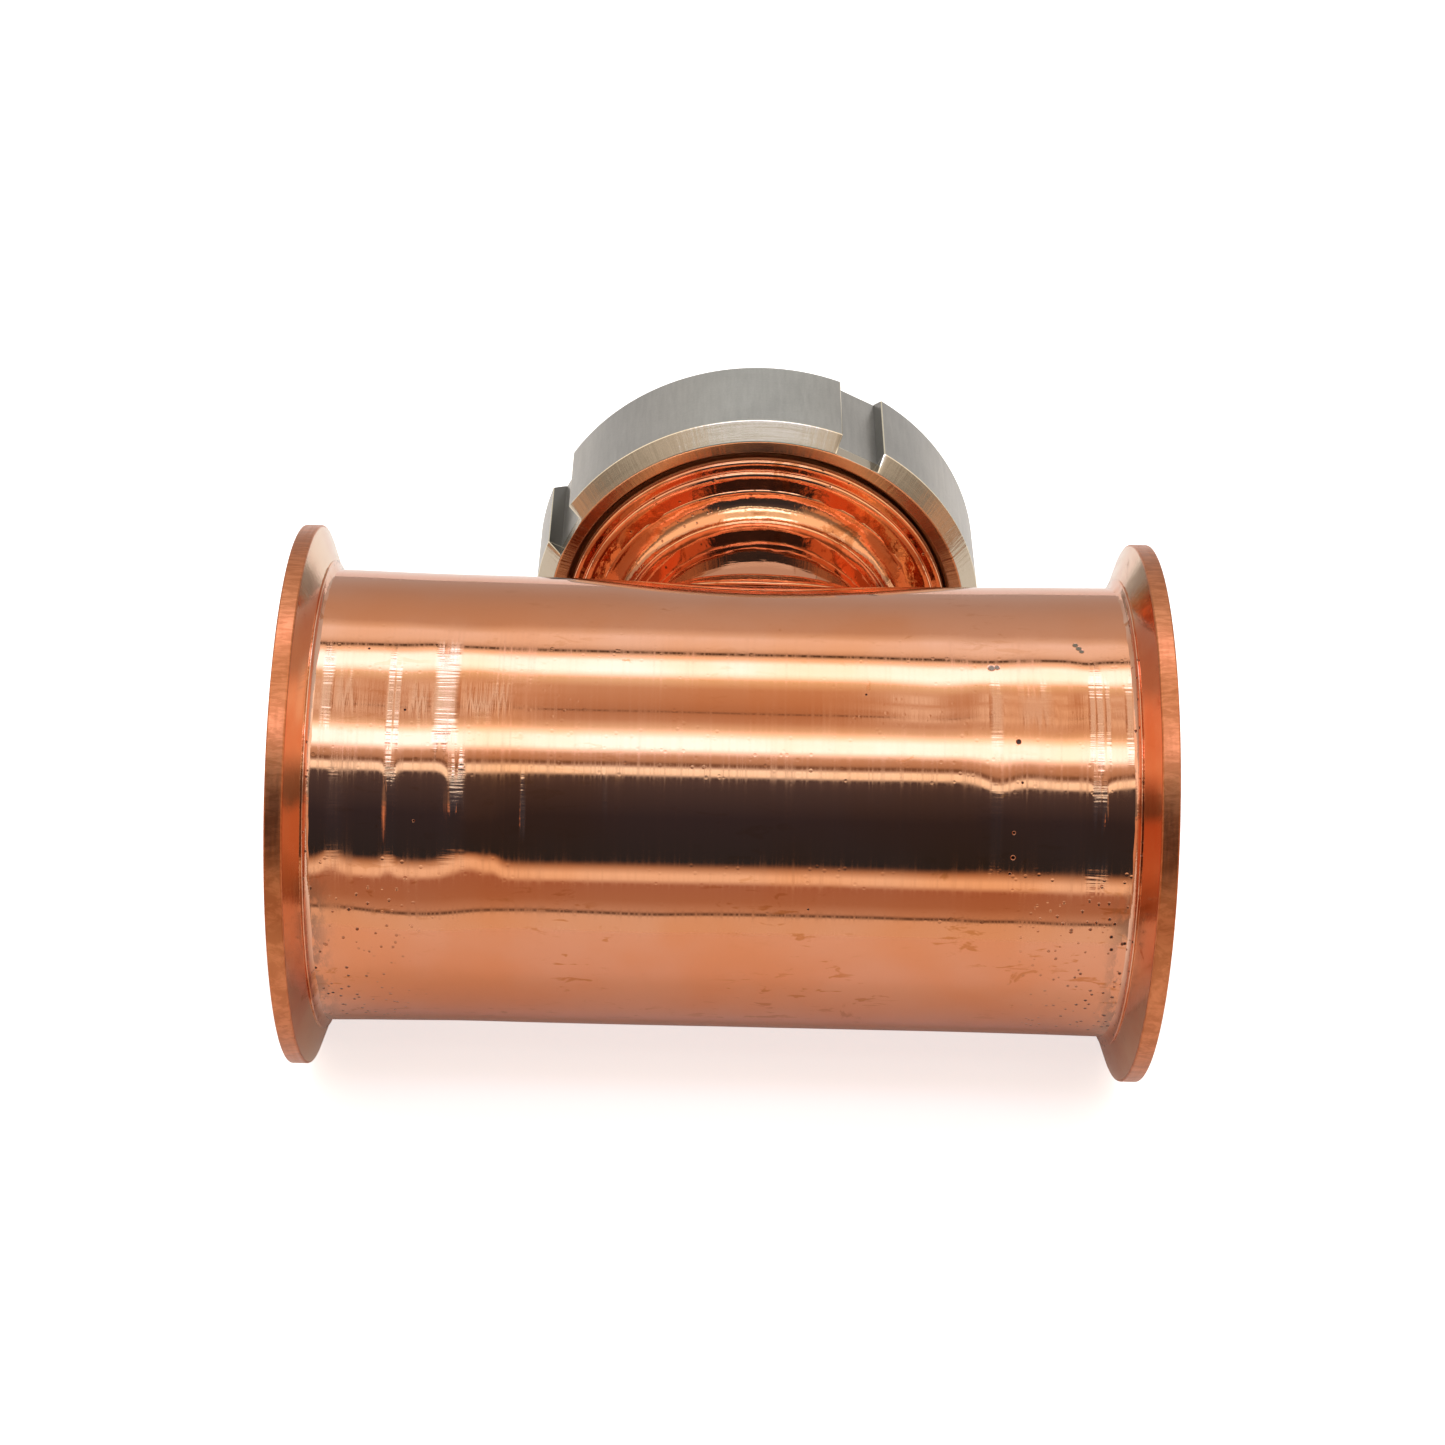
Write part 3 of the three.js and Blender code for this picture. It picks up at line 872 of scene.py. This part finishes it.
def make_branch_braze():
    """Fillet between the neck and the back of the threaded ferrule."""
    leg = NECK_FILLET
    inner = NECK_R - 0.2
    outline = [(inner, HUB_FACE + 0.1), (inner, HUB_FACE - leg)]
    outline += [
        (NECK_R + leg * (1 - math.cos(t)) + 0.02, HUB_FACE - leg * (1 - math.sin(t)) - 0.02)
        for t in np.linspace(0, math.pi / 2, 11)
    ]
    outline.append((NECK_R + leg, HUB_FACE + 0.1))

    def uneven(points):
        x, station, z = points[..., 0], points[..., 1], points[..., 2]
        points[..., 1] = station + 0.12 * wobble(x, station, z, 4.0, 9)
        return points

    mesh = turned("branch_braze", outline, 320, uneven)
    place("branch_braze", mesh, branch_filler, "braze")


def thread_radius(points, play=0.0):
    """Radius of the right-hand round thread at each point."""
    angle = np.arctan2(points[..., 0], points[..., 2])
    turns = points[..., 1] / THREAD_PITCH - angle / TURN
    return THREAD_CREST - THREAD_DEPTH / 2 + play + THREAD_DEPTH / 2 * np.cos(TURN * turns)


def threaded(points, marked, limit, play, inside):
    """Moves the marked rows onto the thread, kept inside or outside a limiting radius."""
    radius = np.hypot(points[..., 0], points[..., 2])
    cut_radius = thread_radius(points, play)
    cut_radius = np.maximum(cut_radius, limit) if inside else np.minimum(cut_radius, limit)
    scale = np.where(marked, cut_radius / radius, 1.0)
    points[..., 0] *= scale
    points[..., 2] *= scale
    return points


THREAD_STEP = THREAD_PITCH / 20


def thread_rows(start, end):
    """Outline points along a stretch of thread, at a radius that only thread rows have."""
    count = int(abs(end - start) / THREAD_STEP)
    return [(THREAD_MARK, start + (end - start) * k / count) for k in range(count + 1)]


# A radius that no other row has: it marks the rows that the helix will move.
THREAD_MARK = 34.0123
THREAD_START = 55.4


def is_thread(points):
    """True on the rows that the helix will move."""
    return np.abs(np.hypot(points[..., 0], points[..., 2]) - THREAD_MARK) < 1e-4


def make_branch_ferrule():
    """Threaded ferrule: hub and shoulder at the back, round thread, gasket seat in front."""
    socket = NECK_R + JOINT_GAP
    stop = NECK_END + 0.3
    hub_round = 1.3
    crest_round = 0.8
    shoulder_round = 0.12
    bore = NECK_R - WALL
    floor = FERRULE_FRONT - SEAT_DEPTH
    back = [(socket, HUB_FACE)]
    back += corner_arc((HUB_R - hub_round, HUB_FACE), (HUB_R, HUB_FACE), (HUB_R, HUB_FACE + 0.9), 7)
    back += corner_arc(
        (HUB_R, SHOULDER - shoulder_round),
        (HUB_R, SHOULDER),
        (HUB_R + shoulder_round, SHOULDER),
        3,
    )
    back += corner_arc(
        (THREAD_CREST - crest_round, SHOULDER),
        (THREAD_CREST, SHOULDER),
        (THREAD_CREST, SHOULDER + crest_round),
        6,
    )
    back.append((THREAD_CREST, THREAD_START))
    front = [
        (SEAT_OUTER, FERRULE_FRONT), (SEAT_OUTER, floor), (SEAT_INNER, floor), (SEAT_INNER, FERRULE_FRONT),
        (bore, FERRULE_FRONT), (bore, stop), (socket, stop),
    ]
    rows = thread_rows(THREAD_START + 0.2, FERRULE_FRONT)
    outline = supported(back, 1.5)[:-1] + rows + supported(front, 2.0)

    def shape(points):
        limit = THREAD_CREST - np.maximum(0, points[..., 1] - (FERRULE_FRONT - THREAD_DEPTH))
        return threaded(points, is_thread(points), limit, 0.0, inside=False)

    mesh = turned("branch_ferrule", outline, 288, shape)
    place("branch_ferrule", mesh, thread_copper, "turned_copper")


def make_ring(node_name, corners, corner_radius, material, slot, body="tee_body"):
    """A plain turned ring with rounded corners."""
    mesh = turned(node_name, supported(rounded(corners, corner_radius, 4), 1.5), 192)
    place(node_name, mesh, material, slot, body)


def box_corners(node_name, inner_radius):
    """Corners of a plain ring between an inner radius and the CAD node's outside."""
    low, high = (value - RUN_Y for value in span(node_name, 1))
    outer = (span(node_name, 0)[1] - span(node_name, 0)[0]) / 2
    return [(inner_radius, low), (outer, low), (outer, high), (inner_radius, high)]


def make_gaskets():
    """Seal under the glass, and slip ring between the glass and the nut's collar."""
    make_ring("inner_gasket", box_corners("inner_gasket", SEAT_INNER + 0.3), 0.5, rubber, "elastomer")
    slip_ring = box_corners("outer_gasket", WINDOW_R + 0.3)
    make_ring("outer_gasket", slip_ring, 0.2, fluoroplastic, "fluoroplastic", "glass_stack")


def make_sight_glass():
    """Glass disc with ground edges, closed by a small flat cap in the middle of each face."""
    edge = 0.5
    cap_radius = 2.0
    rim = GLASS_R - edge
    face = np.linspace(cap_radius, GLASS_R - 2 * edge, 9)
    outline = [(r, GLASS_BACK) for r in face]
    outline += corner_arc((rim, GLASS_BACK), (GLASS_R, GLASS_BACK), (GLASS_R, GLASS_BACK + edge), 3)
    outline += corner_arc((GLASS_R, GLASS_FRONT - edge), (GLASS_R, GLASS_FRONT), (rim, GLASS_FRONT), 3)
    outline += [(r, GLASS_FRONT) for r in face[::-1]]
    points = lathe_points(outline, ring_angles(192))
    rows, columns = points.shape[:2]
    index = np.arange(rows * columns).reshape(rows, columns)
    right = np.roll(index, -1, axis=1)
    faces = np.stack([index[:-1], right[:-1], right[1:], index[1:]], axis=-1).reshape(-1, 4).tolist()
    faces += [index[0].tolist(), index[-1][::-1].tolist()]
    mesh = bpy.data.meshes.new("sight_glass")
    mesh.from_pydata((points.reshape(-1, 3) * MM).tolist(), [], faces)
    clean = bmesh.new()
    clean.from_mesh(mesh)
    bmesh.ops.recalc_face_normals(clean, faces=clean.faces)
    clean.to_mesh(mesh)
    clean.free()
    mesh.shade_smooth()
    mesh.set_sharp_from_angle(angle=math.radians(20))
    place("sight_glass", mesh, glass, "sight_glass", "glass_stack")


def nut_columns():
    """Columns round the nut: an angle, and in a slot the offset across it and the edge drop."""
    half = SLOT_WIDTH / 2
    bevel = 0.18
    floor_columns = 12
    round_steps = 56
    slot_span = math.asin((half + bevel) / NUT_R)
    columns = []
    for i in range(SLOT_COUNT):
        centre = FIRST_SLOT + i * TURN / SLOT_COUNT
        across = [-half - bevel, -half, -half, -half + bevel]
        across += list(np.linspace(-half + 2 * bevel, half - 2 * bevel, floor_columns))
        across += [half - bevel, half, half, half + bevel]
        drops = [0, bevel, None, None] + [None] * floor_columns + [None, None, bevel, 0]
        columns += [(centre, offset, drop) for offset, drop in zip(across, drops)]
        free = TURN / SLOT_COUNT - 2 * slot_span
        columns += [(centre + slot_span + free * k / round_steps, None, 0) for k in range(1, round_steps)]
    return columns


def nut_point(column, radius):
    """Point of the nut's cross-section at a column and radius: on the circle, or on a slot's surface."""
    centre, offset, drop = column
    if offset is None:
        return radius * math.sin(centre), radius * math.cos(centre)
    round_height = math.sqrt(max(radius ** 2 - offset ** 2, 0))
    if round_height <= SLOT_FLOOR:
        angle = centre + math.atan(offset / SLOT_FLOOR)
        return radius * math.sin(angle), radius * math.cos(angle)
    height = SLOT_FLOOR if drop is None else max(SLOT_FLOOR, round_height - drop)
    x = offset * math.cos(centre) + height * math.sin(centre)
    z = height * math.cos(centre) - offset * math.sin(centre)
    return x, z


def make_union_nut():
    """Round slotted nut: window collar at the far end, relief, round thread, countersunk mouth."""
    collar_back = span("outer_gasket", 1)[1] - RUN_Y + 0.3
    outer = [
        (NUT_MOUTH_R, NUT_FACE), (NUT_R - NUT_CHAMFER, NUT_FACE), (NUT_R, NUT_FACE + NUT_CHAMFER),
        (NUT_R, NUT_END - NUT_END_CHAMFER), (NUT_R - NUT_END_CHAMFER, NUT_END),
        (WINDOW_R + 1, NUT_END), (WINDOW_R, NUT_END - 1), (WINDOW_R, collar_back),
        (NUT_RELIEF_R, collar_back), (NUT_RELIEF_R, GLASS_BACK),
    ]
    body = supported(rounded(outer, 0.12, 3), 2.5)[:-1]
    outline = body + thread_rows(GLASS_BACK - 0.5, NUT_FACE + 0.4)
    columns = nut_columns()
    points = np.zeros((len(outline), len(columns), 3))
    for i, (radius, station) in enumerate(outline):
        for j, column in enumerate(columns):
            x, z = nut_point(column, radius)
            points[i, j] = (x, station, z)
    mouth = NUT_MOUTH_R - (points[..., 1] - NUT_FACE)
    points = threaded(points, is_thread(points), mouth, THREAD_PLAY, inside=True)
    mesh = grid_mesh("union_nut", points)
    mesh.set_sharp_from_angle(angle=math.radians(38))
    place("union_nut", mesh, steel, "stainless", "nut")


make_run_tube()
for run_side in ("left", "right"):
    make_clamp_ferrule(run_side)
    make_clamp_braze(run_side)
make_branch_neck()
make_saddle_braze()
make_branch_braze()
make_branch_ferrule()
make_gaskets()
make_sight_glass()
make_union_nut()

# ---- Floor, light and camera ---------------------------------------------------------------------------


FLOOR_LOW = (-0.45, -0.135)
FLOOR_HIGH = (0.45, 0.95)


def make_floor():
    """A pale table top that ends a little in front of the tee, lit from above and a little from within."""
    (left, near_edge), (right, far_edge) = FLOOR_LOW, FLOOR_HIGH
    corners = [(left, near_edge, 0), (right, near_edge, 0), (right, far_edge, 0), (left, far_edge, 0)]
    mesh = bpy.data.meshes.new("floor")
    mesh.from_pydata(corners, [], [(0, 1, 2, 3)])
    floor = bpy.data.objects.new("floor", mesh)
    bpy.context.scene.collection.objects.link(floor)
    material, tree, shader = new_material("pale_floor")
    paper = scaled_noise(tree, (9, 9, 9), detail=3)
    seen = node(tree, "ShaderNodeLightPath").outputs["Is Camera Ray"]
    glow = calc(tree, "ADD", calc(tree, "MULTIPLY", seen, 0.60), 0.08)
    colour = ramp(tree, paper, [(0.3, (0.87, 0.85, 0.79)), (0.7, (0.90, 0.88, 0.82))])
    connect(tree, shader, Base_Color=colour, Emission_Strength=glow)
    shader.inputs["Roughness"].default_value = 0.9
    shader.inputs["Specular IOR Level"].default_value = 0.1
    shader.inputs["Emission Color"].default_value = (1, 1, 1, 1)
    mesh.materials.append(material)


# Light of the studio by angle: 0 is the horizon in front, 90 overhead, 180 the horizon behind.
# The front half has a dark room above the horizon and a strip light; the back half has a second strip.
FRONT_LIGHT = [
    (-90, 0.15), (-50, 0.5), (-38, (0.98, 0.96, 0.88)), (-21, (0.96, 0.94, 0.84)),
    (-20.2, (0.12, 0.09, 0.07)), (-19.4, (0.12, 0.09, 0.07)), (-18.6, (0.72, 0.62, 0.52)),
    (-13, (0.55, 0.38, 0.27)), (-4, (0.52, 0.33, 0.24)), (-1.5, (1.20, 1.25, 1.10)),
    (1, (1.25, 1.30, 1.15)), (4.5, (0.64, 0.52, 0.37)), (6.4, (0.18, 0.14, 0.12)),
    (7.6, (0.035, 0.050, 0.070)), (30, (0.045, 0.055, 0.085)), (44, (0.09, 0.10, 0.13)),
    (50.3, (0.13, 0.14, 0.17)), (51.4, (1.5, 1.9, 1.9)), (54.2, (1.6, 2.1, 2.2)),
    (55.2, (0.6, 0.6, 0.6)), (56.0, (0.26, 0.20, 0.15)), (56.8, (0.26, 0.20, 0.15)),
    (57.8, (0.65, 0.57, 0.45)), (61, (0.85, 0.80, 0.70)), (63, (1.6, 2.2, 2.6)),
    (64.5, (3.4, 3.4, 4.8)), (69.5, (3.4, 3.4, 4.8)), (72, (1.9, 2.4, 2.6)), (75, (1.1, 1.2, 1.05)),
    (79, (0.74, 0.62, 0.48)), (84, (0.62, 0.46, 0.32)), (90, (0.74, 0.58, 0.42)),
]
BACK_LIGHT = [
    (90, (0.74, 0.58, 0.42)), (97, (0.82, 0.70, 0.54)), (102.5, (1.2, 1.4, 1.2)),
    (105, (2.4, 2.8, 3.6)), (107, (3.4, 3.4, 4.8)), (113, (3.2, 3.3, 4.6)), (115.5, (1.6, 1.8, 1.8)),
    (117.7, (1.1, 1.2, 1.1)), (118.6, (0.10, 0.08, 0.06)), (119.5, (0.10, 0.08, 0.06)),
    (120.4, (0.95, 1.0, 0.95)), (124, (1.2, 1.4, 1.5)), (130, (1.25, 1.5, 1.7)),
    (133, (1.0, 1.10, 1.10)), (137, (0.76, 0.76, 0.72)), (150, (0.68, 0.67, 0.63)),
    (165, (0.58, 0.58, 0.56)), (180, (0.56, 0.56, 0.54)), (200, 0.45), (270, 0.15),
]
SIDE_LIGHT = [
    (-90, 0.15), (-20, (0.50, 0.32, 0.21)), (0, (0.80, 0.46, 0.29)), (28, (0.80, 0.46, 0.29)),
    (36, (0.26, 0.23, 0.20)), (50, (0.40, 0.36, 0.31)), (66, (1.35, 1.2, 1.05)),
    (105, (1.35, 1.2, 1.05)), (120, 0.75), (135, (0.72, 0.70, 0.67)), (180, 0.6), (270, 0.15),
]
# Ceiling light between the two strips, towards both ends of the run.
OVERHEAD_GLOW = (1.12, 1.24, 1.20)
OVERHEAD_SEAM = (0.34, 0.26, 0.19)
BRIGHTEST = 5.0


def light_band(tree, angle, stops):
    """Light by angle from a list of (degrees, brightness or colour) stops."""
    low, high = stops[0][0], stops[-1][0]
    scaled = []
    for degrees, value in stops:
        colour = value if isinstance(value, tuple) else (value, value, value)
        scaled.append(((degrees - low) / (high - low), tuple(part / BRIGHTEST for part in colour)))
    place = calc(tree, "DIVIDE", calc(tree, "SUBTRACT", angle, low), high - low)
    return ramp(tree, place, scaled)


def make_world():
    """Studio light round the object: strips that run along X overhead, and plain sides."""
    world = bpy.data.worlds.new("studio")
    bpy.context.scene.world = world
    world.use_nodes = True
    tree = world.node_tree
    direction = node(tree, "ShaderNodeTexCoord").outputs["Generated"]
    split = node(tree, "ShaderNodeSeparateXYZ", Vector=direction).outputs
    angle = calc(tree, "DEGREES", calc(tree, "ARCTAN2", split["Z"], calc(tree, "MULTIPLY", split["Y"], -1.0)))
    # The angle jumps from 180 to -180 behind; the ramps need it to run on from -90 to 270.
    angle = calc(tree, "ADD", angle, calc(tree, "MULTIPLY", calc(tree, "LESS_THAN", angle, -90.0), 360.0))
    middle_light = mixed(tree, calc(tree, "GREATER_THAN", angle, 90.0), light_band(tree, angle, FRONT_LIGHT),
                         light_band(tree, angle, BACK_LIGHT))
    sideways = calc(tree, "ABSOLUTE", split["X"])
    patch_place = node(tree, "ShaderNodeMapping", Vector=direction, Scale=(40, 14, 14)).outputs["Vector"]
    patches = noise_at(tree, patch_place)
    glow = calc_all(tree, "MULTIPLY", [
        near(tree, angle, 88.0, 7.0, 6.0),
        ranged(tree, sideways, 0.045, 0.085),
        ranged(tree, patches, 0.38, 0.56, 0.25, 1.0),
    ])
    middle_light = mixed(tree, glow, middle_light, tuple(part / BRIGHTEST for part in OVERHEAD_GLOW))
    seam = calc(tree, "MULTIPLY", near(tree, angle, 83.8, 0.2, 0.5), ranged(tree, sideways, 0.075, 0.06))
    middle_light = mixed(tree, seam, middle_light, tuple(part / BRIGHTEST for part in OVERHEAD_SEAM))
    aside = ranged(tree, sideways, 0.33, 0.41)
    light = mixed(tree, aside, middle_light, light_band(tree, angle, SIDE_LIGHT))
    seen = node(tree, "ShaderNodeLightPath").outputs["Is Camera Ray"]
    light = mixed(tree, seen, light, (1.0 / BRIGHTEST,) * 3)
    background = tree.nodes["Background"]
    background.inputs["Strength"].default_value = BRIGHTEST
    tree.links.new(light, background.inputs["Color"])


# The photograph's view: distance in metres from the origin, and angles in degrees.
CAMERA_AT = (-0.0042, -0.4179, 0.3587)
CAMERA_YAW = 0.59
CAMERA_PITCH = -36.44
CAMERA_ROLL = 1.71
CAMERA_LENS = 74.6


def make_camera():
    """Camera at the photograph's viewing angle."""
    data = bpy.data.cameras.new("camera")
    data.lens = CAMERA_LENS
    data.sensor_width = 36.0
    camera = bpy.data.objects.new("camera", data)
    bpy.context.scene.collection.objects.link(camera)
    level = Matrix.Rotation(math.radians(90 + CAMERA_PITCH), 4, "X")
    turn = Matrix.Rotation(-math.radians(CAMERA_YAW), 4, "Z")
    roll = Matrix.Rotation(math.radians(CAMERA_ROLL), 4, "Z")
    camera.matrix_world = Matrix.Translation(CAMERA_AT) @ turn @ level @ roll
    bpy.context.scene.camera = camera


make_floor()
make_world()
make_camera()
bpy.context.scene.view_settings.view_transform = "Standard"
